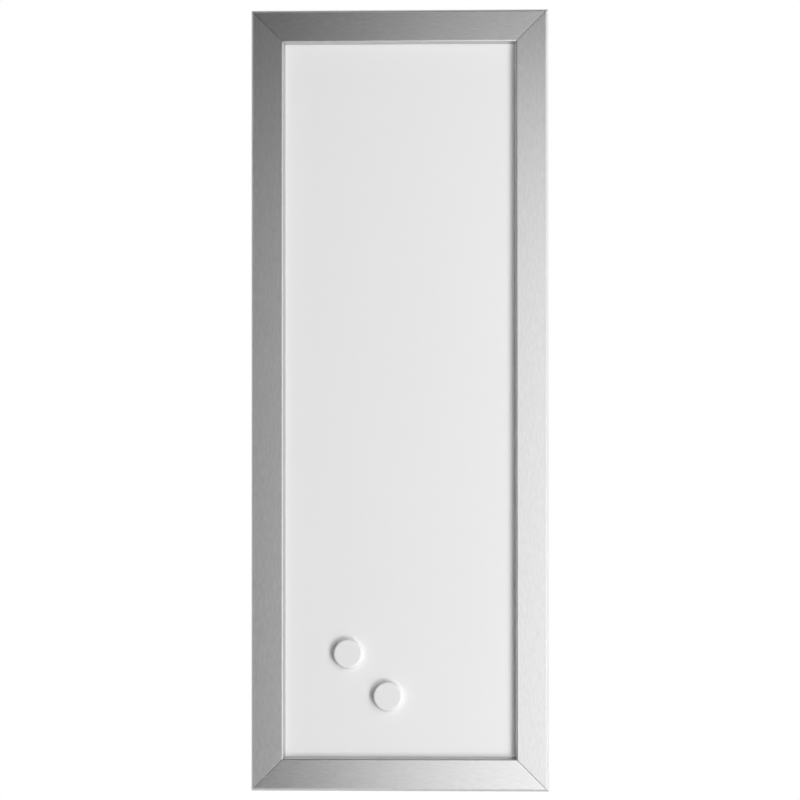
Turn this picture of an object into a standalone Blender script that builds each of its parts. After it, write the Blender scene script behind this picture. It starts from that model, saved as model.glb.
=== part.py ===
"""A tall magnetic whiteboard in a mitred aluminium frame, with two round magnets on it.

All sizes are in metres. X runs to the right, Z up and Y back, into the wall. The origin
lies on the wall, midway between the two wall screws that the board hangs on.

Inside the frame, a place is given by two distances: how far in it lies from the outer
edge of its rail, and how far back it lies from the front face of the frame.
"""
import math

import bmesh
import bpy
from mathutils import Matrix, Vector

# Overall size of the frame
FRAME_WIDTH = 0.300
FRAME_HEIGHT = 0.788

# Clearances
SEAT_GAP = 0.0003
MITRE_GAP = 0.0003
CUT_OVERRUN = 0.002
WELD_DISTANCE = 0.00001
TURN_MERGE = 0.0001

# Section of the frame rails
FACE_WIDTH = 0.031
SECTION_WALL = 0.0013
EDGE_INNER_ROUND = 0.0015
BACK_EDGE_ROUND = 0.0008
LIP_INNER_ROUND = 0.0005
LIP_SPLAY = math.radians(16)
RECESS = 0.007
RIB_INSET = 0.0015
CHANNEL_WIDTH = 0.0104
CHANNEL_DEPTH = 0.0064
SLOT_WIDTH = 0.0058
CLIP_LEDGE = 0.0025

# Board: lacquered steel sheet, core and back liner
SHEET_THICKNESS = 0.0006
CORE_THICKNESS = 0.007
LINER_THICKNESS = 0.0004
BOARD_SIDE_GAP = 0.001

# Bowed spring clips that press the board forward against the rails
CLIP_LENGTH = 0.044
CLIP_WIDTH = 0.010
CLIP_THICKNESS = 0.0005
CLIP_RISE = 0.0022
SIDE_CLIP_SHARES = (-0.3, 0.0, 0.3)
END_CLIP_SHARES = (0.0,)

# Corner angles in the channel of the rails, and their grub screws
ANGLE_LEG = 0.034
ANGLE_CORNER = 0.0015
BACKING_THICKNESS = 0.0012
THREADED_THICKNESS = 0.0025
GRUB_DIAMETER = 0.004
GRUB_INSET = 0.022
GRUB_SINK = 0.0004
GRUB_SOCKET = 0.002
SOCKET_DEPTH = 0.002
SCREW_CHAMFER = 0.0004

# Sliding hangers with a keyhole for a wall screw
HANGER_SPACING = 0.120
HANGER_WIDTH = 0.022
HANGER_PLATE = 0.0015
HANGER_FOOT = 0.002
HANGER_MARGIN = 0.0035
HANGER_CORNER = 0.003
CLAMP_DIAMETER = 0.003
CLAMP_SOCKET = 0.0015
WALL_SCREW_HEAD = 0.009
WALL_SCREW_SHANK = 0.0045
KEYHOLE_CLEARANCE = 0.001
KEYHOLE_DROP = 0.0095

# Pads that keep the lower corners off the wall
PAD_DIAMETER = 0.013
PAD_ROUND = 0.0004

# Round magnets: a white cap over a ferrite disc
MAGNET_DIAMETER = 0.030
MAGNET_HEIGHT = 0.0055
MAGNET_ROUND = 0.0026
CAP_WALL = 0.0012
DISC_DIAMETER = 0.024
DISC_THICKNESS = 0.003
DISC_LEDGE = 0.0015
DISC_CHAMFER = 0.0004
MAGNET_PLACE_SHARES = ((-0.175, -0.3245), (-0.041, -0.379))

# How finely round stretches are divided
ROUND_STEPS = 6
CLIP_STEPS = 10
CORNER_STEPS = 4
KEYHOLE_STEPS = 20
SCREW_SIDES = 20
TURN_STEPS = 48

# Distances back from the front face of the frame
BOARD_FRONT = RECESS + SEAT_GAP
CORE_FRONT = BOARD_FRONT + SHEET_THICKNESS + SEAT_GAP
LINER_FRONT = CORE_FRONT + CORE_THICKNESS + SEAT_GAP
CLIP_FRONT = LINER_FRONT + LINER_THICKNESS + SEAT_GAP
LEDGE_FRONT = CLIP_FRONT + CLIP_RISE + SEAT_GAP
FRAME_DEPTH = LEDGE_FRONT + SECTION_WALL
CHANNEL_FLOOR = LEDGE_FRONT - CHANNEL_DEPTH
WALL_PLANE = FRAME_DEPTH + SEAT_GAP + HANGER_PLATE

# Distances in from the outer edge of a rail
CHANNEL_INNER = SECTION_WALL + CHANNEL_WIDTH
CHANNEL_OUTSIDE = CHANNEL_INNER + SECTION_WALL
CLIP_LEDGE_END = CHANNEL_OUTSIDE + CLIP_LEDGE
SLOT_CENTRE = SECTION_WALL + CHANNEL_WIDTH / 2
BOARD_EDGE = CHANNEL_OUTSIDE + BOARD_SIDE_GAP
RIB_OUTER = BOARD_EDGE + RIB_INSET
ANGLE_EDGE = SECTION_WALL + SEAT_GAP
ANGLE_WIDTH = CHANNEL_WIDTH - 2 * SEAT_GAP
KEYHOLE_REST = CLIP_LEDGE_END + WALL_SCREW_HEAD / 2 + KEYHOLE_CLEARANCE
PAD_CENTRE = PAD_DIAMETER / 2 + BACK_EDGE_ROUND

# Each side of the frame: turn about Y, distance of its outer edge, length of its rail
SIDES = {
    "bottom": (0, FRAME_HEIGHT / 2, FRAME_WIDTH),
    "right": (-90, FRAME_WIDTH / 2, FRAME_HEIGHT),
    "top": (180, FRAME_HEIGHT / 2, FRAME_WIDTH),
    "left": (90, FRAME_WIDTH / 2, FRAME_HEIGHT),
}

# Each corner of the frame: turn about Y, and its place across and up
CORNERS = {
    "lower_left": (0, -1, -1),
    "lower_right": (-90, 1, -1),
    "upper_right": (180, 1, 1),
    "upper_left": (90, -1, 1),
}

# Colour, roughness and metallic value of each material
FINISHES = {
    "brushed_aluminium": ((0.50, 0.50, 0.50), 0.30, 1.0),
    "white_lacquer": ((0.86, 0.86, 0.85), 0.18, 0.0),
    "board_core": ((0.50, 0.38, 0.26), 0.85, 0.0),
    "grey_liner": ((0.42, 0.43, 0.44), 0.60, 0.0),
    "zinc_plated_steel": ((0.55, 0.56, 0.57), 0.35, 1.0),
    "spring_steel": ((0.33, 0.34, 0.36), 0.30, 1.0),
    "black_steel": ((0.03, 0.03, 0.03), 0.45, 1.0),
    "white_plastic": ((0.85, 0.85, 0.84), 0.30, 0.0),
    "ferrite": ((0.05, 0.05, 0.05), 0.70, 0.0),
    "pad_rubber": ((0.70, 0.70, 0.68), 0.60, 0.0),
}

# Turns that lay a drawn outline along a rail or flat against the board
ALONG_RAIL = Matrix.Rotation(-math.pi / 2, 4, "Y")
FLAT_ON_BOARD = Matrix.Rotation(math.pi / 2, 4, "X")
FACING_FRONT = Matrix.Rotation(math.pi / 2, 4, "X")
FACING_WALL = Matrix.Rotation(-math.pi / 2, 4, "X")


# Scene and materials

def clear_scene():
    """Remove everything that the file starts with."""
    for leftover in list(bpy.data.objects):
        bpy.data.objects.remove(leftover, do_unlink=True)


def new_collection(name):
    """A collection in the scene."""
    collection = bpy.data.collections.new(name)
    bpy.context.scene.collection.children.link(collection)
    return collection


def new_material(name):
    """A Principled material from the table of finishes."""
    colour, roughness, metallic = FINISHES[name]
    material = bpy.data.materials.new(name)
    material.use_nodes = True
    shader = material.node_tree.nodes["Principled BSDF"]
    shader.inputs["Base Color"].default_value = (*colour, 1.0)
    shader.inputs["Roughness"].default_value = roughness
    shader.inputs["Metallic"].default_value = metallic
    return material


def new_empty(name, parent, location, turn=0):
    """An empty that carries pieces, turned about Y by some degrees."""
    empty = bpy.data.objects.new(name, None)
    empty.location = location
    empty.rotation_euler = (0, math.radians(turn), 0)
    empty.parent = parent
    collections["pieces"].objects.link(empty)
    return empty


def place(name, mesh, finish, parent, location):
    """A piece of the board, from its mesh."""
    if not mesh.materials:
        mesh.materials.append(materials[finish])
    piece = bpy.data.objects.new(name, mesh)
    piece.location = location
    piece.parent = parent
    collections["pieces"].objects.link(piece)
    return piece


# Outlines

def arc(centre, radius, start, end, steps):
    """Points of an arc, angles in radians."""
    angles = [start + (end - start) * step / steps for step in range(steps + 1)]
    return [(centre[0] + radius * math.cos(a), centre[1] + radius * math.sin(a)) for a in angles]


def rounded(points, radius):
    """The same outline with each of its corners rounded."""
    result = []
    for index, point in enumerate(points):
        corner = Vector(point)
        before = (Vector(points[index - 1]) - corner).normalized()
        after = (Vector(points[(index + 1) % len(points)]) - corner).normalized()
        half_angle = before.angle(after) / 2
        centre = corner + (before + after).normalized() * radius / math.sin(half_angle)
        start = corner + before * radius / math.tan(half_angle) - centre
        sweep = start.angle_signed(corner + after * radius / math.tan(half_angle) - centre)
        first = math.atan2(start.y, start.x)
        result += arc(centre, radius, first, first - sweep, CORNER_STEPS)
    return result


def rectangle(width, height):
    """A rectangle about the origin."""
    return [
        (-width / 2, -height / 2),
        (width / 2, -height / 2),
        (width / 2, height / 2),
        (-width / 2, height / 2),
    ]


# Meshes

def tidy(mesh):
    """Weld loose caps and turn every face outwards."""
    work = bmesh.new()
    work.from_mesh(mesh)
    bmesh.ops.remove_doubles(work, verts=work.verts, dist=WELD_DISTANCE)
    bmesh.ops.recalc_face_normals(work, faces=work.faces)
    work.to_mesh(mesh)
    work.free()


def evaluated_mesh(carrier):
    """The finished mesh of an object, which is then removed."""
    bpy.context.view_layer.update()
    depsgraph = bpy.context.evaluated_depsgraph_get()
    mesh = bpy.data.meshes.new_from_object(carrier.evaluated_get(depsgraph))
    mesh.name = carrier.name
    bpy.data.objects.remove(carrier, do_unlink=True)
    return mesh


def extruded(name, outlines, thickness, turn):
    """Closed outlines, the first with the rest as holes in it, given a thickness."""
    curve = bpy.data.curves.new(name, "CURVE")
    curve.dimensions = "2D"
    curve.fill_mode = "BOTH"
    curve.extrude = thickness / 2
    for outline in outlines:
        spline = curve.splines.new("POLY")
        spline.points.add(len(outline) - 1)
        for spline_point, (x, y) in zip(spline.points, outline):
            spline_point.co = (x, y, 0, 1)
        spline.use_cyclic_u = True
    carrier = bpy.data.objects.new(name, curve)
    collections["cutters"].objects.link(carrier)
    mesh = evaluated_mesh(carrier)
    mesh.transform(turn)
    tidy(mesh)
    return mesh


def turned(name, profile, turn):
    """A profile of (radius, height) revolved about its axis."""
    profile_mesh = bpy.data.meshes.new(name)
    edges = [(index, index + 1) for index in range(len(profile) - 1)]
    profile_mesh.from_pydata([(radius, 0, height) for radius, height in profile], edges, [])
    carrier = bpy.data.objects.new(name, profile_mesh)
    collections["cutters"].objects.link(carrier)
    screw = carrier.modifiers.new("Turn", "SCREW")
    screw.axis = "Z"
    screw.angle = 2 * math.pi
    screw.steps = TURN_STEPS
    screw.render_steps = TURN_STEPS
    screw.use_merge_vertices = True
    screw.merge_threshold = TURN_MERGE
    mesh = evaluated_mesh(carrier)
    mesh.transform(turn)
    tidy(mesh)
    mesh.shade_smooth()
    mesh.set_sharp_from_angle(angle=math.radians(30))
    return mesh


def cylinder(name, diameter, low, high, sides=SCREW_SIDES):
    """A cylinder along Z between two heights."""
    work = bmesh.new()
    bmesh.ops.create_cone(
        work,
        cap_ends=True,
        segments=sides,
        radius1=diameter / 2,
        radius2=diameter / 2,
        depth=high - low,
        matrix=Matrix.Translation((0, 0, (low + high) / 2)),
    )
    mesh = bpy.data.meshes.new(name)
    work.to_mesh(mesh)
    work.free()
    return mesh


def combined(mesh, operation, others):
    """A mesh after a Boolean with each of the others in turn."""
    carrier = bpy.data.objects.new(mesh.name, mesh)
    collections["pieces"].objects.link(carrier)
    tools = []
    for other in others:
        tool = bpy.data.objects.new(other.name, other)
        tool.hide_render = True
        tool.display_type = "WIRE"
        collections["cutters"].objects.link(tool)
        tools.append(tool)
        boolean = carrier.modifiers.new(other.name, "BOOLEAN")
        boolean.operation = operation
        boolean.object = tool
    result = evaluated_mesh(carrier)
    for tool in tools:
        bpy.data.objects.remove(tool, do_unlink=True)
    tidy(result)
    return result


def slab(name, width, height, front, back):
    """A flat sheet that lies between two distances back from the front face."""
    work = bmesh.new()
    bmesh.ops.create_cube(work, size=1)
    bmesh.ops.scale(work, vec=(width, back - front, height), verts=work.verts)
    bmesh.ops.translate(work, vec=(0, (front + back) / 2, 0), verts=work.verts)
    mesh = bpy.data.meshes.new(name)
    work.to_mesh(mesh)
    work.free()
    return mesh


# Frame rails

def rail_section():
    """Outline of a rail's section, as distances in from its outer edge and back."""
    edge_round = SECTION_WALL + EDGE_INNER_ROUND
    lip_round = SECTION_WALL + LIP_INNER_ROUND
    lip_start = lip_round * (1 - math.sin(LIP_SPLAY))
    lip_edge = (
        FACE_WIDTH
        + lip_round * math.cos(LIP_SPLAY)
        + (RECESS - lip_start) * math.tan(LIP_SPLAY)
    )
    lip_back = lip_edge - SECTION_WALL / math.cos(LIP_SPLAY)
    slot_outer = SLOT_CENTRE - SLOT_WIDTH / 2
    slot_inner = SLOT_CENTRE + SLOT_WIDTH / 2
    quarter = math.pi / 2
    edge_centre = (edge_round, edge_round)
    front_edge = arc(edge_centre, edge_round, 2 * quarter, 3 * quarter, ROUND_STEPS)
    front_inside = arc(edge_centre, EDGE_INNER_ROUND, 3 * quarter, 2 * quarter, CORNER_STEPS)
    lip_front = arc((FACE_WIDTH, lip_round), lip_round, -quarter, -LIP_SPLAY, ROUND_STEPS)
    lip_rear = arc((FACE_WIDTH, lip_round), LIP_INNER_ROUND, -LIP_SPLAY, -quarter, CORNER_STEPS)
    back_centre = (BACK_EDGE_ROUND, FRAME_DEPTH - BACK_EDGE_ROUND)
    back_edge = arc(back_centre, BACK_EDGE_ROUND, quarter, 2 * quarter, CORNER_STEPS)
    support_rib = [
        (RIB_OUTER + SECTION_WALL, SECTION_WALL),
        (RIB_OUTER + SECTION_WALL, RECESS),
        (RIB_OUTER, RECESS),
        (RIB_OUTER, SECTION_WALL),
    ]
    channel_front = [
        (SECTION_WALL, CHANNEL_FLOOR - SECTION_WALL),
        (CHANNEL_OUTSIDE, CHANNEL_FLOOR - SECTION_WALL),
        (CHANNEL_OUTSIDE, LEDGE_FRONT),
        (CLIP_LEDGE_END, LEDGE_FRONT),
        (CLIP_LEDGE_END, FRAME_DEPTH),
    ]
    channel_inside = [
        (slot_inner, FRAME_DEPTH),
        (slot_inner, LEDGE_FRONT),
        (CHANNEL_INNER, LEDGE_FRONT),
        (CHANNEL_INNER, CHANNEL_FLOOR),
        (SECTION_WALL, CHANNEL_FLOOR),
        (SECTION_WALL, LEDGE_FRONT),
        (slot_outer, LEDGE_FRONT),
        (slot_outer, FRAME_DEPTH),
    ]
    return [
        *front_edge,
        *lip_front,
        (lip_edge, RECESS),
        (lip_back, RECESS),
        *lip_rear,
        *support_rib,
        *front_inside,
        *channel_front,
        *channel_inside,
        *back_edge,
    ]


def rail_mesh(name, length):
    """A length of the section, mitred at both ends."""
    mesh = extruded(name, [rail_section()], length, ALONG_RAIL)
    work = bmesh.new()
    work.from_mesh(mesh)
    corner = length / 2 - MITRE_GAP / 2 * math.sqrt(2)
    for end in (-1, 1):
        bmesh.ops.bisect_plane(
            work,
            geom=[*work.verts, *work.edges, *work.faces],
            plane_co=(end * corner, 0, 0),
            plane_no=(end, 0, 1),
            clear_outer=True,
        )
        open_edges = [edge for edge in work.edges if edge.is_boundary]
        bmesh.ops.holes_fill(work, edges=open_edges, sides=0)
    bmesh.ops.recalc_face_normals(work, faces=work.faces)
    work.to_mesh(mesh)
    work.free()
    mesh.shade_smooth()
    mesh.set_sharp_from_angle(angle=math.radians(30))
    return mesh


def add_rails():
    """The four rails, which meet in mitres."""
    for side, (_, _, length) in SIDES.items():
        name = "rail_" + side
        place(name, rail_mesh(name, length), "brushed_aluminium", side_empties[side], (0, 0, 0))


# Board between the rails

def add_board():
    """The writing sheet, the core that stiffens it and the liner behind it."""
    width = FRAME_WIDTH - 2 * BOARD_EDGE
    height = FRAME_HEIGHT - 2 * BOARD_EDGE
    layers = [
        ("writing_sheet", "white_lacquer", BOARD_FRONT, SHEET_THICKNESS),
        ("board_core", "board_core", CORE_FRONT, CORE_THICKNESS),
        ("back_liner", "grey_liner", LINER_FRONT, LINER_THICKNESS),
    ]
    for name, finish, front, thickness in layers:
        mesh = slab(name, width, height, front, front + thickness)
        place(name, mesh, finish, board_centre, (0, 0, 0))


def clip_mesh():
    """A bowed strip, its two feet on the liner and its crest under the rail's ledge."""
    bow = CLIP_RISE - CLIP_THICKNESS
    radius = CLIP_LENGTH * CLIP_LENGTH / (8 * bow) + bow / 2
    half_sweep = math.asin(CLIP_LENGTH / 2 / radius)
    centre = (0, bow - radius)
    upright = math.pi / 2
    outer = arc(
        centre, radius + CLIP_THICKNESS, upright - half_sweep, upright + half_sweep, CLIP_STEPS
    )
    inner = arc(centre, radius, upright + half_sweep, upright - half_sweep, CLIP_STEPS)
    return extruded("spring_clip", [outer + inner], CLIP_WIDTH, Matrix.Identity(4))


def add_clips():
    """The spring clips along each rail."""
    mesh = clip_mesh()
    inset = CHANNEL_OUTSIDE + SEAT_GAP + CLIP_WIDTH / 2
    for side, (_, _, length) in SIDES.items():
        shares = SIDE_CLIP_SHARES if side in ("left", "right") else END_CLIP_SHARES
        for number, share in enumerate(shares, start=1):
            name = f"spring_clip_{side}_{number}"
            place(name, mesh, "spring_steel", side_empties[side], (share * length, CLIP_FRONT, inset))


# Corner joints

def angle_mesh(name, thickness, holes):
    """An L-shaped plate for the channel of two rails, with holes for its screws."""
    low = ANGLE_EDGE
    inside = ANGLE_EDGE + ANGLE_WIDTH
    end = ANGLE_EDGE + ANGLE_LEG
    outline = [(low, low), (end, low), (end, inside), (inside, inside), (inside, end), (low, end)]
    hole_radius = GRUB_DIAMETER / 2 + SEAT_GAP
    circles = [arc(hole, hole_radius, 0, 2 * math.pi, SCREW_SIDES)[:-1] for hole in holes]
    return extruded(name, [rounded(outline, ANGLE_CORNER), *circles], thickness, FLAT_ON_BOARD)


def screw_mesh(name, diameter, length, socket):
    """A grub screw along Z from its tip at zero to its socketed end."""
    work = bmesh.new()
    shank = cylinder(name, diameter, 0, length)
    work.from_mesh(shank)
    rims = [edge for edge in work.edges if abs(edge.verts[0].co.z - edge.verts[1].co.z) < WELD_DISTANCE]
    bmesh.ops.bevel(
        work,
        geom=rims,
        offset=SCREW_CHAMFER,
        offset_type="OFFSET",
        segments=1,
        profile=0.5,
        affect="EDGES",
        material=-1,
    )
    work.to_mesh(shank)
    work.free()
    hexagon = cylinder(name + "_socket", socket, length - SOCKET_DEPTH, length + CUT_OVERRUN, sides=6)
    mesh = combined(shank, "DIFFERENCE", [hexagon])
    mesh.transform(FACING_WALL)
    return mesh


def add_corner_joints():
    """At each corner a plain angle, a threaded angle and the two screws that wedge them apart."""
    near = (ANGLE_EDGE + GRUB_INSET, SLOT_CENTRE)
    holes = [near, near[::-1]]
    backing_front = CHANNEL_FLOOR + SEAT_GAP
    backing_back = backing_front + BACKING_THICKNESS
    threaded_back = LEDGE_FRONT - SEAT_GAP
    tip = backing_back + SEAT_GAP
    screw_length = FRAME_DEPTH - GRUB_SINK - tip
    backing = angle_mesh("backing_angle", BACKING_THICKNESS, [])
    threaded = angle_mesh("threaded_angle", THREADED_THICKNESS, holes)
    screw = screw_mesh("grub_screw", GRUB_DIAMETER, screw_length, GRUB_SOCKET)
    for corner, empty in corner_empties.items():
        backing_place = (0, backing_front + BACKING_THICKNESS / 2, 0)
        threaded_place = (0, threaded_back - THREADED_THICKNESS / 2, 0)
        place("backing_angle_" + corner, backing, "zinc_plated_steel", empty, backing_place)
        place("threaded_angle_" + corner, threaded, "zinc_plated_steel", empty, threaded_place)
        for number, (across, up) in enumerate(holes, start=1):
            name = f"grub_screw_{corner}_{number}"
            place(name, screw, "black_steel", empty, (across, tip, up))


# Wall hangers and pads

def keyhole():
    """Outline of the keyhole about the point where the wall screw comes to rest."""
    slot_radius = (WALL_SCREW_SHANK + KEYHOLE_CLEARANCE) / 2
    entry_radius = (WALL_SCREW_HEAD + KEYHOLE_CLEARANCE) / 2
    throat = math.asin(slot_radius / entry_radius)
    upright = math.pi / 2
    slot_end = arc((0, 0), slot_radius, 0, -math.pi, KEYHOLE_STEPS // 2)
    entry = arc(
        (0, KEYHOLE_DROP), entry_radius, -upright - throat, -5 * upright + throat, KEYHOLE_STEPS
    )
    return slot_end + entry


def hanger_mesh():
    """A plate with a keyhole behind the frame, on a foot that runs in the rail's channel."""
    entry_radius = (WALL_SCREW_HEAD + KEYHOLE_CLEARANCE) / 2
    neck_outer = SLOT_CENTRE - SLOT_WIDTH / 2 + SEAT_GAP
    neck_inner = SLOT_CENTRE + SLOT_WIDTH / 2 - SEAT_GAP
    plate_end = KEYHOLE_REST + KEYHOLE_DROP + entry_radius + HANGER_MARGIN
    plate_middle = (ANGLE_EDGE + plate_end) / 2 - KEYHOLE_REST
    outline = [
        (across, along + plate_middle)
        for across, along in rectangle(HANGER_WIDTH, plate_end - ANGLE_EDGE)
    ]
    plate = extruded(
        "hanger", [rounded(outline, HANGER_CORNER), keyhole()], HANGER_PLATE, FLAT_ON_BOARD
    )
    plate.transform(Matrix.Translation((0, -HANGER_PLATE / 2, 0)))

    foot_outer = ANGLE_EDGE
    foot_inner = ANGLE_EDGE + ANGLE_WIDTH
    foot_back = LEDGE_FRONT - SEAT_GAP
    foot_front = foot_back - HANGER_FOOT
    neck_back = WALL_PLANE - HANGER_PLATE / 2
    section = [
        (foot_outer, foot_front),
        (foot_inner, foot_front),
        (foot_inner, foot_back),
        (neck_inner, foot_back),
        (neck_inner, neck_back),
        (neck_outer, neck_back),
        (neck_outer, foot_back),
        (foot_outer, foot_back),
    ]
    section = [(inward - KEYHOLE_REST, back - WALL_PLANE) for inward, back in section]
    foot_length = HANGER_WIDTH - 2 * HANGER_CORNER
    foot = extruded("hanger_foot", [section], foot_length, ALONG_RAIL)

    hole_front = foot_front - WALL_PLANE - CUT_OVERRUN
    hole = cylinder("clamp_hole", CLAMP_DIAMETER + 2 * SEAT_GAP, hole_front, CUT_OVERRUN)
    hole.transform(FACING_WALL)
    hole.transform(Matrix.Translation((0, 0, SLOT_CENTRE - KEYHOLE_REST)))
    return combined(combined(plate, "UNION", [foot]), "DIFFERENCE", [hole])


def add_hangers():
    """Two hangers in the channel of the top rail, each with its clamp screw."""
    mesh = hanger_mesh()
    tip = CHANNEL_FLOOR + SEAT_GAP
    screw_length = WALL_PLANE - GRUB_SINK - tip
    screw = screw_mesh("clamp_screw", CLAMP_DIAMETER, screw_length, CLAMP_SOCKET)
    for side, across in (("left", HANGER_SPACING / 2), ("right", -HANGER_SPACING / 2)):
        rest = new_empty("hanger_rest_" + side, side_empties["top"], (across, WALL_PLANE, KEYHOLE_REST))
        place("hanger_" + side, mesh, "zinc_plated_steel", rest, (0, 0, 0))
        screw_place = (0, tip - WALL_PLANE, SLOT_CENTRE - KEYHOLE_REST)
        place("clamp_screw_" + side, screw, "black_steel", rest, screw_place)


def add_pads():
    """A pad at each lower corner, as thick as the hangers stand behind the frame."""
    front = FRAME_DEPTH + SEAT_GAP
    thickness = WALL_PLANE - front
    radius = PAD_DIAMETER / 2
    rim = arc((radius - PAD_ROUND, thickness - PAD_ROUND), PAD_ROUND, math.pi / 2, 0, CORNER_STEPS)
    mesh = turned("wall_pad", [(0, thickness), *rim, (radius, 0), (0, 0)], FACING_WALL)
    for corner in ("lower_left", "lower_right"):
        centre = (PAD_CENTRE, front, PAD_CENTRE)
        place("wall_pad_" + corner, mesh, "pad_rubber", corner_empties[corner], centre)


# Magnets

def cap_mesh():
    """A round cap, hollow below, with a ledge that its disc sits against."""
    radius = MAGNET_DIAMETER / 2
    pocket = DISC_DIAMETER / 2 + SEAT_GAP
    ledge = SEAT_GAP + DISC_THICKNESS + SEAT_GAP
    ceiling = MAGNET_HEIGHT - CAP_WALL
    edge_centre = (radius - MAGNET_ROUND, MAGNET_HEIGHT - MAGNET_ROUND)
    edge = arc(edge_centre, MAGNET_ROUND, math.pi / 2, 0, ROUND_STEPS)
    hollow = [
        (pocket, 0),
        (pocket, ledge),
        (pocket - DISC_LEDGE, ledge),
        (pocket - DISC_LEDGE, ceiling),
        (0, ceiling),
    ]
    return turned("magnet_cap", [(0, MAGNET_HEIGHT), *edge, (radius, 0), *hollow], FACING_FRONT)


def disc_mesh():
    """A ferrite disc with chamfered edges."""
    radius = DISC_DIAMETER / 2
    profile = [
        (0, DISC_THICKNESS),
        (radius - DISC_CHAMFER, DISC_THICKNESS),
        (radius, DISC_THICKNESS - DISC_CHAMFER),
        (radius, DISC_CHAMFER),
        (radius - DISC_CHAMFER, 0),
        (0, 0),
    ]
    return turned("magnet_disc", profile, FACING_FRONT)


def add_magnets():
    """The magnets, each on an empty on its axis where it meets the sheet."""
    cap = cap_mesh()
    disc = disc_mesh()
    for number, (across_share, up_share) in enumerate(MAGNET_PLACE_SHARES, start=1):
        base = (across_share * FRAME_WIDTH, BOARD_FRONT - SEAT_GAP, up_share * FRAME_HEIGHT)
        seat = new_empty(f"magnet_seat_{number}", board_centre, base)
        place(f"magnet_cap_{number}", cap, "white_plastic", seat, (0, 0, 0))
        place(f"magnet_disc_{number}", disc, "ferrite", seat, (0, -SEAT_GAP, 0))


# Model

clear_scene()
collections = {
    "pieces": new_collection("magnetic_whiteboard"),
    "cutters": new_collection("cutters"),
}
materials = {name: new_material(name) for name in FINISHES}

board_centre = new_empty("board_centre", None, (0, -WALL_PLANE, KEYHOLE_REST - FRAME_HEIGHT / 2))
side_empties = {}
for side_name, (side_turn, edge_distance, _) in SIDES.items():
    inward = Matrix.Rotation(math.radians(side_turn), 3, "Y") @ Vector((0, 0, 1))
    side_empties[side_name] = new_empty(
        "side_" + side_name, board_centre, -edge_distance * inward, side_turn
    )
corner_empties = {
    name: new_empty(
        "corner_" + name, board_centre, (across * FRAME_WIDTH / 2, 0, up * FRAME_HEIGHT / 2), turn
    )
    for name, (turn, across, up) in CORNERS.items()
}

add_rails()
add_board()
add_clips()
add_corner_joints()
add_hangers()
add_pads()
add_magnets()
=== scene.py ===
"""Looks of the magnetic whiteboard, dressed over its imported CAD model.

All sizes are in metres. X runs to the right, Z up and Y back, into the wall.

A place in a rail is given by how far along the rail it lies from the middle, how far
back from the front face of the frame and how far in from the rail's outer edge.
"""

import math

import bmesh
import bpy
from mathutils import Matrix, Vector


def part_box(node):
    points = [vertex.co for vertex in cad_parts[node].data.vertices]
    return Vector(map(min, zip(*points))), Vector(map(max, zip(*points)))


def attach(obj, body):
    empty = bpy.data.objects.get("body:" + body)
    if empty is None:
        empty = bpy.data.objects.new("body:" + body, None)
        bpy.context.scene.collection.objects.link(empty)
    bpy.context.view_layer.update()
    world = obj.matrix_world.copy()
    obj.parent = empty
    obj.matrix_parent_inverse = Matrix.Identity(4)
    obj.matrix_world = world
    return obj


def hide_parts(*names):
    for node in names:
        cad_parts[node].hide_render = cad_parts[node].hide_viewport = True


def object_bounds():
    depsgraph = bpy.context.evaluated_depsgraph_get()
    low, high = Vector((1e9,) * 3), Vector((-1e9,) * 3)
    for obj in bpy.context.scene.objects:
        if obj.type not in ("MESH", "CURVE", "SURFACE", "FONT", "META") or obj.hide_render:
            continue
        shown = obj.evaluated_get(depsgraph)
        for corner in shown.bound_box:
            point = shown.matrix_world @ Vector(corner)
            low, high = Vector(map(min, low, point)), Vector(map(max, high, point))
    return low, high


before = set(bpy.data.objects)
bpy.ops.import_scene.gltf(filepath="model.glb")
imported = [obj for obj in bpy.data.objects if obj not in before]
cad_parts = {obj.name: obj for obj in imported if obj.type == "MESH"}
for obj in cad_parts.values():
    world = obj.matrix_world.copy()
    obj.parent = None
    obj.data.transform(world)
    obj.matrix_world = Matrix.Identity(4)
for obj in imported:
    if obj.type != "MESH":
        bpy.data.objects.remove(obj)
cad_low, cad_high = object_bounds()

# Section of the frame rails, as in the CAD model
FACE_WIDTH = 0.031
SECTION_WALL = 0.0013
EDGE_INNER_ROUND = 0.0015
BACK_EDGE_ROUND = 0.0008
LIP_INNER_ROUND = 0.0005
LIP_SPLAY = math.radians(16)
RECESS = 0.007
RIB_OUTER = 0.0155
CHANNEL_WIDTH = 0.0104
CHANNEL_DEPTH = 0.0064
SLOT_WIDTH = 0.0058
CLIP_LEDGE = 0.0025
MITRE_GAP = 0.0003
MITRE_CHAMFER = 0.00015

# Magnet caps, screws and pads, as in the CAD model
MAGNET_ROUND = 0.0026
MAGNET_RIM_ROUND = 0.0003
CAP_WALL = 0.0012
CAP_POCKET_DIAMETER = 0.0246
CAP_POCKET_DEPTH = 0.0036
CAP_LEDGE = 0.0015
SCREW_CHAMFER = 0.0004
SOCKET_DEPTH = 0.002
GRUB_SOCKET = 0.002
CLAMP_SOCKET = 0.0015
PAD_ROUND = 0.0004

# Edge breaks of the bought-in steel parts
PRESSED_EDGE = 0.00025
CLIP_EDGE = 0.00012

# How finely round stretches are divided, and from how many corners on a face is split
ROUND_STEPS = 16
SMALL_ROUND_STEPS = 6
TURN_STEPS = 128
HEXAGON_SIDES = 6
EDGE_SEGMENTS = 3
CHAMFER_SEGMENTS = 2
MANY_CORNERS = 5

# Tolerances
WELD_DISTANCE = 0.00001
SHARP_ANGLE = math.radians(30)
FLAT_ANGLE = math.radians(1)

# A face is a mitre's cut if more than this of its normal points along the rail
CUT_NORMAL_SHARE = 0.5

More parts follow.
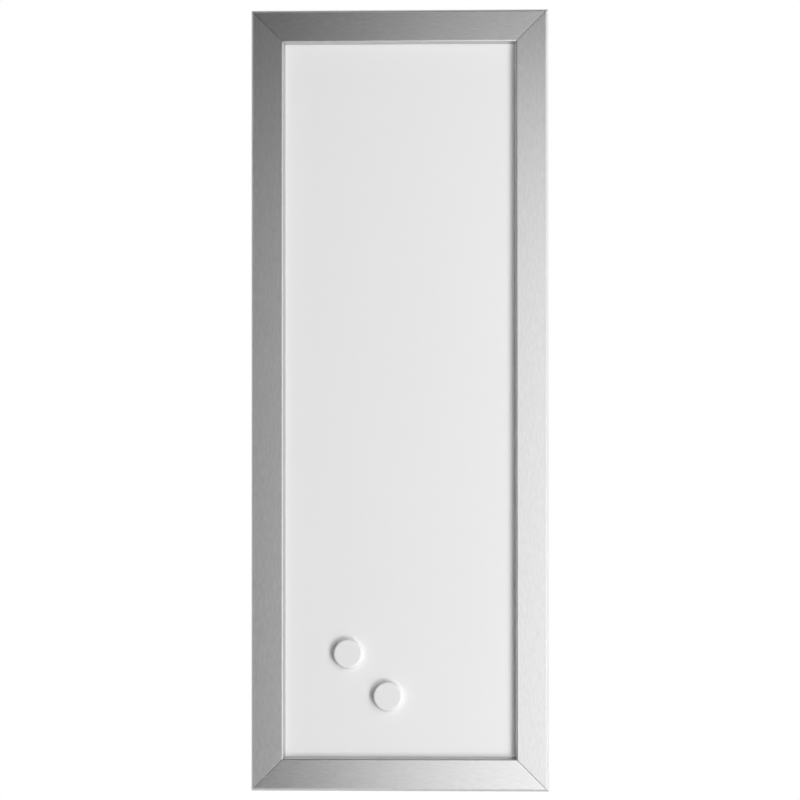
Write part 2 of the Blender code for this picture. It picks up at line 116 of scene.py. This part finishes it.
# Camera, seen from the middle of the frame's face, with its lens and sensor in millimetres
CAMERA_DISTANCE = 4.0
CAMERA_RIGHT = math.radians(2.50)
CAMERA_BELOW = math.radians(0.79)
CAMERA_ROLL = math.radians(-0.026)
CAMERA_LENS = 178.76
SENSOR_WIDTH = 36.0
CAMERA_SHIFT = 0.0006

# Floor
FLOOR_SIZE = 2.4
FLOOR_DROP = 2.0

# What an area lamp needs for a face that looks as bright as a white world
LAMP_WATTS_PER_SQUARE_METRE = math.pi

# Softboxes, seen from the middle of the frame's face: how many degrees to the right and up,
# how far away, how wide and high, and how many times as bright as a white world
SOFTBOXES_FOR_WHITES = (
    dict(name="low softbox", right=42, up=-28, away=3.6, width=1.5, height=2.2, brightness=9.45),
    dict(name="high softbox", right=48, up=20, away=3.6, width=1.5, height=2.2, brightness=4.7),
    dict(name="front softbox", right=0, up=14, away=2.6, width=0.95, height=0.95, brightness=5.3),
)
SOFTBOXES_FOR_METAL = (
    dict(name="near softbox", right=13.5, up=-10, away=1.566, width=0.895, height=1.615, brightness=2),
    dict(name="side softbox", right=55.2, up=-5.65, away=2.642, width=0.945, height=2.44, brightness=1.2),
)

# The world is white towards a direction and black away from it, and changes between two
# values of the dot product with it. What the metal mirrors is dark in front, a little more
# so above and to the left. What lights the rest leaves the whole front to the softboxes.
MIRRORED_TOWARDS = (0.15, 1.0, -0.3)
MIRRORED_FADE = (-0.85, -0.1)
LIT_TOWARDS = (0.0, 1.0, 0.0)
LIT_FADE = (0.0, 0.15)

# The part of a noise pattern's range that holds most of it
NOISE_MIDDLE = (0.3, 0.7)

# The rails' UV map, which runs across and along the brushing
GRAIN = "grain"

# The round between a rail's face and its outer side, painted lighter as a highlight and made rougher: how
# much rougher it is than the face, its painted highlight tone, and half the width over which this fades
# in
EDGE_ROUGHER = 0.15
EDGE_HIGHLIGHT_TONE = (0.86, 0.86, 0.86)
ROUND_FADE = 0.0003

# Where each rail lies: its turn about Y from the bottom of the frame
SIDE_TURNS = {"bottom": 0, "right": -90, "top": 180, "left": 90}

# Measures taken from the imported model
rail_low, rail_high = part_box("rail_top")
FRAME_WIDTH = cad_high.x - cad_low.x
FRAME_HEIGHT = cad_high.z - cad_low.z
FRAME_FRONT = rail_low.y
FRAME_DEPTH = rail_high.y - rail_low.y
FRAME_MIDDLE = Vector((
    (cad_low.x + cad_high.x) / 2,
    FRAME_FRONT,
    (cad_low.z + cad_high.z) / 2,
))


# Outlines

def arc(centre, radius, start, end, steps):
    """Points of an arc, angles in radians."""
    angles = [start + (end - start) * step / steps for step in range(steps + 1)]
    return [(centre[0] + radius * math.cos(a), centre[1] + radius * math.sin(a)) for a in angles]


def rail_section():
    """Outline of a rail's section, as distances in from its outer edge and back."""
    edge_round = SECTION_WALL + EDGE_INNER_ROUND
    lip_round = SECTION_WALL + LIP_INNER_ROUND
    lip_start = lip_round * (1 - math.sin(LIP_SPLAY))
    lip_edge = (
        FACE_WIDTH
        + lip_round * math.cos(LIP_SPLAY)
        + (RECESS - lip_start) * math.tan(LIP_SPLAY)
    )
    lip_back = lip_edge - SECTION_WALL / math.cos(LIP_SPLAY)
    ledge_front = FRAME_DEPTH - SECTION_WALL
    channel_floor = ledge_front - CHANNEL_DEPTH
    channel_inner = SECTION_WALL + CHANNEL_WIDTH
    channel_outside = channel_inner + SECTION_WALL
    ledge_end = channel_outside + CLIP_LEDGE
    slot_centre = SECTION_WALL + CHANNEL_WIDTH / 2
    slot_outer = slot_centre - SLOT_WIDTH / 2
    slot_inner = slot_centre + SLOT_WIDTH / 2
    quarter = math.pi / 2
    edge_centre = (edge_round, edge_round)
    lip_centre = (FACE_WIDTH, lip_round)
    back_centre = (BACK_EDGE_ROUND, FRAME_DEPTH - BACK_EDGE_ROUND)
    front_edge = arc(edge_centre, edge_round, 2 * quarter, 3 * quarter, ROUND_STEPS)
    front_inside = arc(edge_centre, EDGE_INNER_ROUND, 3 * quarter, 2 * quarter, SMALL_ROUND_STEPS)
    lip_front = arc(lip_centre, lip_round, -quarter, -LIP_SPLAY, ROUND_STEPS)
    lip_rear = arc(lip_centre, LIP_INNER_ROUND, -LIP_SPLAY, -quarter, SMALL_ROUND_STEPS)
    back_edge = arc(back_centre, BACK_EDGE_ROUND, quarter, 2 * quarter, SMALL_ROUND_STEPS)
    return [
        (SECTION_WALL, channel_floor - SECTION_WALL),
        (channel_outside, channel_floor - SECTION_WALL),
        (channel_outside, ledge_front),
        (ledge_end, ledge_front),
        (ledge_end, FRAME_DEPTH),
        (slot_inner, FRAME_DEPTH),
        (slot_inner, ledge_front),
        (channel_inner, ledge_front),
        (channel_inner, channel_floor),
        (SECTION_WALL, channel_floor),
        (SECTION_WALL, ledge_front),
        (slot_outer, ledge_front),
        (slot_outer, FRAME_DEPTH),
        *back_edge,
        *front_edge,
        *lip_front,
        (lip_edge, RECESS),
        (lip_back, RECESS),
        *lip_rear,
        (RIB_OUTER + SECTION_WALL, SECTION_WALL),
        (RIB_OUTER + SECTION_WALL, RECESS),
        (RIB_OUTER, RECESS),
        (RIB_OUTER, SECTION_WALL),
        *front_inside,
    ]


# Pieces

def add_piece(name, work, material, body, replaced):
    """A finished piece from a bmesh, on its body, in place of its CAD node."""
    bmesh.ops.recalc_face_normals(work, faces=work.faces)
    mesh = bpy.data.meshes.new(name)
    work.to_mesh(mesh)
    work.free()
    mesh.shade_smooth()
    mesh.set_sharp_from_angle(angle=SHARP_ANGLE)
    mesh.materials.append(material)
    piece = bpy.data.objects.new(name, mesh)
    bpy.context.scene.collection.objects.link(piece)
    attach(piece, body)
    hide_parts(replaced)
    return piece


def even_shading(piece):
    """Keep wide flat faces flat beside the rounds that they run into."""
    normals = piece.modifiers.new("Even shading", "WEIGHTED_NORMAL")
    normals.keep_sharp = True


def split_evenly(piece):
    """Split faces of many corners into triangles, none of them without area."""
    split = piece.modifiers.new("Even split", "TRIANGULATE")
    split.min_vertices = MANY_CORNERS
    split.ngon_method = "BEAUTY"
    split.keep_custom_normals = True


def paint(material, *nodes):
    """Give CAD nodes that keep their own mesh a material."""
    for node in nodes:
        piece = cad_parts[node]
        piece.data.materials.clear()
        piece.data.materials.append(material)


def softened(name, node, material, body, edge):
    """A copy of a CAD node with its pressed or sheared edges softly broken."""
    work = bmesh.new()
    work.from_mesh(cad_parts[node].data)
    bmesh.ops.remove_doubles(work, verts=work.verts, dist=WELD_DISTANCE)
    bmesh.ops.dissolve_limit(
        work,
        angle_limit=FLAT_ANGLE,
        verts=work.verts,
        edges=work.edges,
    )
    piece = add_piece(name, work, material, body, node)
    bevel = piece.modifiers.new("Edges", "BEVEL")
    bevel.width = edge
    bevel.segments = EDGE_SEGMENTS
    bevel.limit_method = "ANGLE"
    bevel.angle_limit = SHARP_ANGLE
    bevel.harden_normals = True
    return piece


def spun(profile):
    """A profile of (radius, height) turned about Z into a closed shell."""
    work = bmesh.new()
    verts = [work.verts.new((radius, 0, height)) for radius, height in profile]
    edges = [work.edges.new(pair) for pair in zip(verts, verts[1:])]
    bmesh.ops.spin(
        work,
        geom=[*verts, *edges],
        cent=(0, 0, 0),
        axis=(0, 0, 1),
        angle=2 * math.pi,
        steps=TURN_STEPS,
        use_merge=True,
    )
    bmesh.ops.remove_doubles(work, verts=work.verts, dist=WELD_DISTANCE)
    return work


# Frame rails

def rail_work(length):
    """A length of the section along X, mitred at both ends, with its place round it kept."""
    work = bmesh.new()
    around = work.verts.layers.float.new("around")
    outline = [Vector((0, back, inward)) for inward, back in rail_section()]
    verts = [work.verts.new(point - Vector((length / 2, 0, 0))) for point in outline]
    distance = 0.0
    for vert, before in zip(verts, [verts[0], *verts]):
        distance += (vert.co - before.co).length
        vert[around] = distance
    end_face = work.faces.new(verts)
    extruded = bmesh.ops.extrude_face_region(work, geom=[end_face], use_keep_orig=True)
    far_verts = [item for item in extruded["geom"] if isinstance(item, bmesh.types.BMVert)]
    bmesh.ops.translate(work, vec=(length, 0, 0), verts=far_verts)
    corner = length / 2 - MITRE_GAP / 2 * math.sqrt(2)
    for end in (-1, 1):
        bmesh.ops.bisect_plane(
            work,
            geom=[*work.verts, *work.edges, *work.faces],
            plane_co=(end * corner, 0, 0),
            plane_no=(end, 0, 1),
            clear_outer=True,
        )
        open_edges = [edge for edge in work.edges if edge.is_boundary]
        bmesh.ops.holes_fill(work, edges=open_edges, sides=0)
    return work


def chamfer_mitres(work):
    """Break the cut edges of both mitres all round the section."""
    work.normal_update()
    cuts = {face for face in work.faces if abs(face.normal.x) > CUT_NORMAL_SHARE}
    rims = [edge for edge in work.edges if len(cuts.intersection(edge.link_faces)) == 1]
    bmesh.ops.bevel(
        work,
        geom=rims,
        offset=MITRE_CHAMFER,
        offset_type="OFFSET",
        segments=CHAMFER_SEGMENTS,
        profile=0.5,
        affect="EDGES",
        material=-1,
    )


def lay_grain(work):
    """A UV map in metres, U across the brushing and V along it."""
    around = work.verts.layers.float["around"]
    grain = work.loops.layers.uv.new(GRAIN)
    for face in work.faces:
        for loop in face.loops:
            loop[grain].uv = (loop.vert[around], loop.vert.co.x)


def add_rails(material):
    """The four mitred rails."""
    for side, turn in SIDE_TURNS.items():
        upright = side in ("left", "right")
        length = FRAME_HEIGHT if upright else FRAME_WIDTH
        across = FRAME_WIDTH if upright else FRAME_HEIGHT
        work = rail_work(length)
        chamfer_mitres(work)
        lay_grain(work)
        place = (
            Matrix.Translation(FRAME_MIDDLE)
            @ Matrix.Rotation(math.radians(turn), 4, "Y")
            @ Matrix.Translation((0, 0, -across / 2))
        )
        bmesh.ops.transform(work, matrix=place, verts=work.verts)
        piece = add_piece(
            "brushed_rail_" + side, work, material, "board", "rail_" + side
        )
        even_shading(piece)
        split_evenly(piece)


# Magnets

def cap_profile(radius, height):
    """Half of a magnet cap: crown, rounded shoulder, rim and the pocket for its disc."""
    quarter = math.pi / 2
    shoulder_centre = (radius - MAGNET_ROUND, height - MAGNET_ROUND)
    rim_centre = (radius - MAGNET_RIM_ROUND, MAGNET_RIM_ROUND)
    pocket = CAP_POCKET_DIAMETER / 2
    ceiling = height - CAP_WALL
    return [
        (0, height),
        *arc(shoulder_centre, MAGNET_ROUND, quarter, 0, ROUND_STEPS),
        *arc(rim_centre, MAGNET_RIM_ROUND, 0, -quarter, SMALL_ROUND_STEPS),
        (pocket, 0),
        (pocket, CAP_POCKET_DEPTH),
        (pocket - CAP_LEDGE, CAP_POCKET_DEPTH),
        (pocket - CAP_LEDGE, ceiling),
        (0, ceiling),
    ]


def add_magnets(cap_material, disc_material):
    """Two round caps in place of the CAD ones; the discs keep their CAD mesh."""
    for number in (1, 2):
        node = f"magnet_cap_{number}"
        low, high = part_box(node)
        radius = (high.x - low.x) / 2
        work = spun(cap_profile(radius, high.y - low.y))
        centre = ((low.x + high.x) / 2, high.y, (low.z + high.z) / 2)
        place = Matrix.Translation(centre) @ Matrix.Rotation(math.pi / 2, 4, "X")
        bmesh.ops.transform(work, matrix=place, verts=work.verts)
        piece = add_piece(
            f"white_cap_{number}", work, cap_material, f"magnet_{number}", node
        )
        even_shading(piece)
        paint(disc_material, f"magnet_disc_{number}")


# Fittings behind the frame

def screw_work(radius, length, socket):
    """A plain chamfered screw along Z with a hexagon socket in its upper end."""
    work = spun([
        (0, 0),
        (radius - SCREW_CHAMFER, 0),
        (radius, SCREW_CHAMFER),
        (radius, length - SCREW_CHAMFER),
        (radius - SCREW_CHAMFER, length),
    ])
    rim = [edge for edge in work.edges if edge.is_boundary]
    hexagon = bmesh.ops.create_circle(
        work,
        cap_ends=False,
        radius=socket / 2,
        segments=HEXAGON_SIDES,
        matrix=Matrix.Translation((0, 0, length)),
    )
    mouth = list({edge for vert in hexagon["verts"] for edge in vert.link_edges})
    bmesh.ops.bridge_loops(work, edges=[*rim, *mouth])
    wall = bmesh.ops.extrude_edge_only(work, edges=mouth)
    floor_verts = [item for item in wall["geom"] if isinstance(item, bmesh.types.BMVert)]
    floor_edges = [item for item in wall["geom"] if isinstance(item, bmesh.types.BMEdge)]
    bmesh.ops.translate(work, vec=(0, 0, -SOCKET_DEPTH), verts=floor_verts)
    floor_rim = [edge for edge in floor_edges if edge.is_boundary]
    bmesh.ops.holes_fill(work, edges=floor_rim, sides=0)
    return work


def add_screw(name, node, material, body, socket):
    """A socket screw in the place of a CAD one, its socket towards the wall."""
    low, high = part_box(node)
    work = screw_work((high.z - low.z) / 2, high.y - low.y, socket)
    centre = ((low.x + high.x) / 2, low.y, (low.z + high.z) / 2)
    place = Matrix.Translation(centre) @ Matrix.Rotation(-math.pi / 2, 4, "X")
    bmesh.ops.transform(work, matrix=place, verts=work.verts)
    add_piece(name, work, material, body, node)


def add_pad(side, material):
    """A round pad with a soft edge towards the wall."""
    node = "wall_pad_lower_" + side
    low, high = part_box(node)
    radius = (high.x - low.x) / 2
    thickness = high.y - low.y
    edge_centre = (radius - PAD_ROUND, thickness - PAD_ROUND)
    edge = arc(edge_centre, PAD_ROUND, math.pi / 2, 0, SMALL_ROUND_STEPS)
    work = spun([(0, thickness), *edge, (radius, 0), (0, 0)])
    centre = ((low.x + high.x) / 2, low.y, (low.z + high.z) / 2)
    place = Matrix.Translation(centre) @ Matrix.Rotation(-math.pi / 2, 4, "X")
    bmesh.ops.transform(work, matrix=place, verts=work.verts)
    piece = add_piece("soft_pad_" + side, work, material, "board", node)
    even_shading(piece)


def add_fittings(zinc, spring, black, rubber):
    """Angles, clips, screws, hangers and pads."""
    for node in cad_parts:
        if node.startswith("spring_clip"):
            softened("bowed_" + node, node, spring, "board", CLIP_EDGE)
        elif node.startswith(("backing_angle", "threaded_angle")):
            softened("pressed_" + node, node, zinc, "board", PRESSED_EDGE)
        elif node.startswith("grub_screw"):
            add_screw("socket_" + node, node, black, "board", GRUB_SOCKET)
    for side in ("left", "right"):
        hanger = "hanger_" + side
        softened("pressed_" + hanger, hanger, zinc, hanger, PRESSED_EDGE)
        add_screw("socket_clamp_screw_" + side, "clamp_screw_" + side, black, hanger, CLAMP_SOCKET)
        add_pad(side, rubber)


# Materials

def reckon(tree, operation, first, second):
    """A Math node's result from two sockets, or from a socket and a number."""
    made = tree.nodes.new("ShaderNodeMath")
    made.operation = operation
    for value, socket in zip((first, second), made.inputs):
        if isinstance(value, bpy.types.NodeSocket):
            tree.links.new(value, socket)
        else:
            socket.default_value = value
    return made.outputs["Value"]


class Finish:
    """A Principled material with some inputs the same all over; patterns are added one by one."""

    def __init__(self, name, **inputs):
        self.material = bpy.data.materials.new(name)
        self.material.use_nodes = True
        self.tree = self.material.node_tree
        self.shader = self.tree.nodes["Principled BSDF"]
        self.feed(self.shader, inputs)

    def feed(self, node, inputs):
        """Set each of a node's inputs to a value, or join it to a socket."""
        for key, value in inputs.items():
            socket = node.inputs[key.replace("_", " ")]
            if isinstance(value, bpy.types.NodeSocket):
                self.tree.links.new(value, socket)
            else:
                socket.default_value = value

    def node(self, kind, **inputs):
        """A new node with its inputs fed."""
        made = self.tree.nodes.new(kind)
        self.feed(made, inputs)
        return made

    def join(self, value, name):
        """Join a pattern to one of the shader's inputs."""
        self.tree.links.new(value, self.shader.inputs[name])

    def on_map(self, uv_map):
        """The place on a UV map."""
        source = self.tree.nodes.new("ShaderNodeUVMap")
        source.uv_map = uv_map
        return source.outputs["UV"]

    def pattern(self, scale, detail, squeeze=(1.0, 1.0, 1.0), uv_map=""):
        """Noise with so many spots a metre, squeezed so many times along each axis."""
        if uv_map:
            place = self.on_map(uv_map)
        else:
            place = self.node("ShaderNodeTexCoord").outputs["Object"]
        mapping = self.node("ShaderNodeMapping", Vector=place, Scale=squeeze)
        noise = self.node(
            "ShaderNodeTexNoise", Vector=mapping.outputs["Vector"], Scale=scale, Detail=detail
        )
        return noise.outputs["Fac"]

    def blend(self, first, second, share):
        """Two patterns, the second at a share of the whole."""
        return self.node("ShaderNodeMix", Factor=share, A=first, B=second).outputs["Result"]

    def tones(self, value, dark, light):
        """A colour between two tones, after a pattern."""
        ramp = self.node("ShaderNodeValToRGB", Fac=value)
        for element, position, tone in zip(
            ramp.color_ramp.elements, NOISE_MIDDLE, (dark, light)
        ):
            element.position = position
            element.color = (*tone, 1.0)
        self.join(ramp.outputs["Color"], "Base Color")

    def gloss(self, value, low, high):
        """Roughness between two values, after a pattern."""
        spread = self.node(
            "ShaderNodeMapRange",
            Value=value,
            From_Min=NOISE_MIDDLE[0],
            From_Max=NOISE_MIDDLE[1],
            To_Min=low,
            To_Max=high,
        )
        self.join(spread.outputs["Result"], "Roughness")

    def past(self, uv_map, place):
        """A mask that rises from 0 to 1 as U passes a place."""
        parts = self.node("ShaderNodeSeparateXYZ", Vector=self.on_map(uv_map))
        rise = self.node(
            "ShaderNodeMapRange",
            Value=parts.outputs["X"],
            From_Min=place - ROUND_FADE,
            From_Max=place + ROUND_FADE,
        )
        return rise.outputs["Result"]

    def roughen(self, mask):
        """More roughness by as much as a mask says."""
        before = self.shader.inputs["Roughness"].links[0].from_socket
        self.join(reckon(self.tree, "ADD", before, mask), "Roughness")

    def touch(self, mask, tone):
        """Another tone where a mask says."""
        before = self.shader.inputs["Base Color"].links[0].from_socket
        mix = self.tree.nodes.new("ShaderNodeMix")
        mix.data_type = "RGBA"
        under, over = [socket for socket in mix.inputs if socket.type == "RGBA"]
        self.tree.links.new(mask, mix.inputs["Factor"])
        self.tree.links.new(before, under)
        over.default_value = (*tone, 1.0)
        self.join(next(socket for socket in mix.outputs if socket.type == "RGBA"), "Base Color")

    def relief(self, value, height):
        """A raised pattern, its height in metres."""
        bump = self.node("ShaderNodeBump", Height=value, Distance=height)
        self.join(bump.outputs["Normal"], "Normal")


def way_round(target):
    """How far round the rail's section one of its corners lies."""
    section = [Vector(point) for point in rail_section()]
    distance = 0.0
    for before, point in zip([section[0], *section], section):
        distance += (point - before).length
        if (point - Vector(target)).length < WELD_DISTANCE:
            break
    return distance


def brushed_aluminium():
    """Satin aluminium, brushed along each rail, its outer edge round rougher and painted lighter as a
    highlight.
    """
    finish = Finish("satin brushed aluminium", Metallic=1.0, Anisotropic=0.295)
    hairlines = finish.pattern(scale=1.0, detail=2.0, squeeze=(2600.0, 45.0, 1.0), uv_map=GRAIN)
    streaks = finish.pattern(scale=1.0, detail=3.0, squeeze=(520.0, 130.0, 1.0), uv_map=GRAIN)
    grain = finish.blend(hairlines, streaks, share=0.5)
    finish.tones(grain, dark=(0.54, 0.54, 0.54), light=(0.67, 0.67, 0.67))
    finish.gloss(grain, low=0.31, high=0.36)
    finish.relief(hairlines, height=0.000004)
    edge_round = SECTION_WALL + EDGE_INNER_ROUND
    past_side = finish.past(GRAIN, way_round((0, edge_round)))
    past_round = finish.past(GRAIN, way_round((edge_round, 0)))
    on_round = reckon(finish.tree, "SUBTRACT", past_side, past_round)
    # Painted highlight: the outer round gets a lighter tone than the brushed face.
    finish.touch(on_round, EDGE_HIGHLIGHT_TONE)
    rougher = reckon(finish.tree, "MULTIPLY", on_round, EDGE_ROUGHER)
    finish.roughen(rougher)
    tangent = finish.tree.nodes.new("ShaderNodeTangent")
    tangent.direction_type = "UV_MAP"
    tangent.uv_map = GRAIN
    finish.join(tangent.outputs["Tangent"], "Tangent")
    return finish.material


def white_lacquer():
    """Baked white lacquer with a trace of orange peel."""
    finish = Finish("white sheet lacquer", Specular_IOR_Level=0.3)
    peel = finish.pattern(scale=420.0, detail=2.0)
    wiped = finish.pattern(scale=9.0, detail=4.0, squeeze=(1.0, 1.0, 0.4))
    finish.tones(wiped, dark=(0.835, 0.835, 0.835), light=(0.845, 0.845, 0.845))
    finish.gloss(wiped, low=0.29, high=0.36)
    finish.relief(peel, height=0.000002)
    return finish.material


def fibreboard():
    """Raw fibreboard."""
    finish = Finish("raw fibreboard", Roughness=0.88)
    fibres = finish.pattern(scale=900.0, detail=6.0, squeeze=(1.0, 0.3, 1.0))
    finish.tones(fibres, dark=(0.30, 0.20, 0.12), light=(0.52, 0.38, 0.25))
    finish.relief(fibres, height=0.00008)
    return finish.material


def grey_liner():
    """Grey primer on the thin sheet behind the core."""
    finish = Finish("grey primed liner")
    rolled = finish.pattern(scale=60.0, detail=5.0, squeeze=(1.0, 1.0, 0.05))
    specks = finish.pattern(scale=1500.0, detail=2.0)
    coat = finish.blend(rolled, specks, share=0.4)
    finish.tones(coat, dark=(0.38, 0.39, 0.40), light=(0.46, 0.47, 0.48))
    finish.gloss(coat, low=0.48, high=0.62)
    finish.relief(specks, height=0.000006)
    return finish.material


def zinc_plate():
    """Bright zinc plate on pressed steel."""
    finish = Finish("bright zinc plate", Metallic=1.0)
    cloud = finish.pattern(scale=160.0, detail=5.0)
    crystals = finish.pattern(scale=1400.0, detail=3.0)
    finish.tones(cloud, dark=(0.56, 0.58, 0.61), light=(0.70, 0.72, 0.73))
    finish.gloss(cloud, low=0.26, high=0.42)
    finish.relief(crystals, height=0.000006)
    return finish.material


def spring_steel():
    """Blued spring steel."""
    finish = Finish("blued spring steel", Metallic=1.0)
    temper = finish.pattern(scale=90.0, detail=4.0)
    finish.tones(temper, dark=(0.16, 0.18, 0.24), light=(0.30, 0.30, 0.33))
    finish.gloss(temper, low=0.24, high=0.38)
    return finish.material


def black_oxide():
    """Black oxide on the socket screws."""
    finish = Finish("black oxide", Metallic=0.9)
    oil = finish.pattern(scale=700.0, detail=4.0)
    finish.tones(oil, dark=(0.025, 0.025, 0.03), light=(0.06, 0.06, 0.065))
    finish.gloss(oil, low=0.34, high=0.52)
    return finish.material


def white_plastic():
    """White moulded plastic of the magnet caps."""
    finish = Finish("white moulded plastic", Specular_IOR_Level=0.25)
    mould = finish.pattern(scale=1800.0, detail=3.0)
    finish.tones(mould, dark=(0.81, 0.81, 0.81), light=(0.83, 0.83, 0.83))
    finish.gloss(mould, low=0.45, high=0.58)
    finish.relief(mould, height=0.000004)
    return finish.material


def ferrite():
    """Dark sintered ferrite."""
    finish = Finish("sintered ferrite", Roughness=0.68)
    crystals = finish.pattern(scale=2400.0, detail=4.0)
    finish.tones(crystals, dark=(0.03, 0.03, 0.035), light=(0.075, 0.075, 0.08))
    finish.relief(crystals, height=0.00002)
    return finish.material


def pad_rubber():
    """Pale grey rubber of the wall pads."""
    finish = Finish("pale grey rubber", Roughness=0.55, Subsurface_Weight=0.2)
    skin = finish.pattern(scale=1600.0, detail=3.0)
    finish.tones(skin, dark=(0.58, 0.58, 0.56), light=(0.66, 0.66, 0.64))
    finish.relief(skin, height=0.00001)
    return finish.material


# Studio

def add_camera():
    """A long lens at the photograph's viewing angle."""
    camera = bpy.data.objects.new("camera", bpy.data.cameras.new("camera"))
    bpy.context.scene.collection.objects.link(camera)
    camera.data.lens = CAMERA_LENS
    camera.data.sensor_width = SENSOR_WIDTH
    camera.data.shift_x = CAMERA_SHIFT
    offset = Vector((math.sin(CAMERA_RIGHT), -1, -math.sin(CAMERA_BELOW)))
    camera.location = FRAME_MIDDLE + CAMERA_DISTANCE * offset
    aim = (-offset).to_track_quat("-Z", "Y").to_matrix().to_4x4()
    camera.matrix_world = (
        Matrix.Translation(camera.location) @ aim @ Matrix.Rotation(CAMERA_ROLL, 4, "Z")
    )
    bpy.context.scene.camera = camera


def add_softbox(name, right, up, away, width, height, brightness):
    """An area lamp that the camera doesn't see and that faces the middle of the frame."""
    turn = Matrix.Rotation(math.radians(right), 3, "Z") @ Matrix.Rotation(math.radians(-up), 3, "X")
    offset = turn @ Vector((0, -away, 0))
    lamp = bpy.data.lights.new(name, "AREA")
    lamp.shape = "RECTANGLE"
    lamp.size = width
    lamp.size_y = height
    lamp.energy = brightness * LAMP_WATTS_PER_SQUARE_METRE * width * height
    softbox = bpy.data.objects.new(name, lamp)
    bpy.context.scene.collection.objects.link(softbox)
    softbox.location = FRAME_MIDDLE + offset
    softbox.rotation_euler = (-offset).to_track_quat("-Z", "Y").to_euler()
    softbox.visible_camera = False
    return softbox


def add_softboxes():
    """Lamps that no metal mirrors, for the whites, and lamps that only metal mirrors."""
    for placing in SOFTBOXES_FOR_WHITES:
        add_softbox(**placing).visible_glossy = False
    for placing in SOFTBOXES_FOR_METAL:
        add_softbox(**placing).visible_diffuse = False


def add_floor():
    """A pale floor some way below the board."""
    work = bmesh.new()
    bmesh.ops.create_grid(work, size=FLOOR_SIZE / 2)
    bmesh.ops.translate(work, vec=(0, 0, cad_low.z - FLOOR_DROP), verts=work.verts)
    mesh = bpy.data.meshes.new("floor")
    work.to_mesh(mesh)
    work.free()
    finish = Finish("pale floor", Base_Color=(0.80, 0.80, 0.80, 1.0), Roughness=0.9)
    mesh.materials.append(finish.material)
    floor = bpy.data.objects.new("floor", mesh)
    bpy.context.scene.collection.objects.link(floor)


def light_world():
    """White to the camera and behind the board, and to the metal also round its sides."""
    world = bpy.data.worlds.new("studio")
    bpy.context.scene.world = world
    world.use_nodes = True
    tree = world.node_tree
    background = tree.nodes["Background"]
    direction = tree.nodes.new("ShaderNodeTexCoord").outputs["Generated"]
    ray = tree.nodes.new("ShaderNodeLightPath")

    def fade(towards, black_at, white_at):
        """A brightness that rises from 0 to 1 as a ray turns towards a direction."""
        reach = tree.nodes.new("ShaderNodeVectorMath")
        reach.operation = "DOT_PRODUCT"
        tree.links.new(direction, reach.inputs[0])
        reach.inputs[1].default_value = towards
        spread = tree.nodes.new("ShaderNodeMapRange")
        tree.links.new(reach.outputs["Value"], spread.inputs["Value"])
        spread.inputs["From Min"].default_value = black_at
        spread.inputs["From Max"].default_value = white_at
        return spread.outputs["Result"]

    in_mirror = fade(MIRRORED_TOWARDS, *MIRRORED_FADE)
    mirrored = reckon(tree, "MULTIPLY", in_mirror, ray.outputs["Is Glossy Ray"])
    lit = reckon(tree, "MAXIMUM", fade(LIT_TOWARDS, *LIT_FADE), mirrored)
    strength = reckon(tree, "MAXIMUM", lit, ray.outputs["Is Camera Ray"])
    tree.links.new(strength, background.inputs["Strength"])
    background.inputs["Color"].default_value = (1.0, 1.0, 1.0, 1.0)


# Scene

add_rails(brushed_aluminium())
paint(white_lacquer(), "writing_sheet")
paint(fibreboard(), "board_core")
paint(grey_liner(), "back_liner")
add_magnets(white_plastic(), ferrite())
add_fittings(zinc_plate(), spring_steel(), black_oxide(), pad_rubber())

add_camera()
add_floor()
add_softboxes()
light_world()

bpy.context.scene.view_settings.view_transform = "Standard"
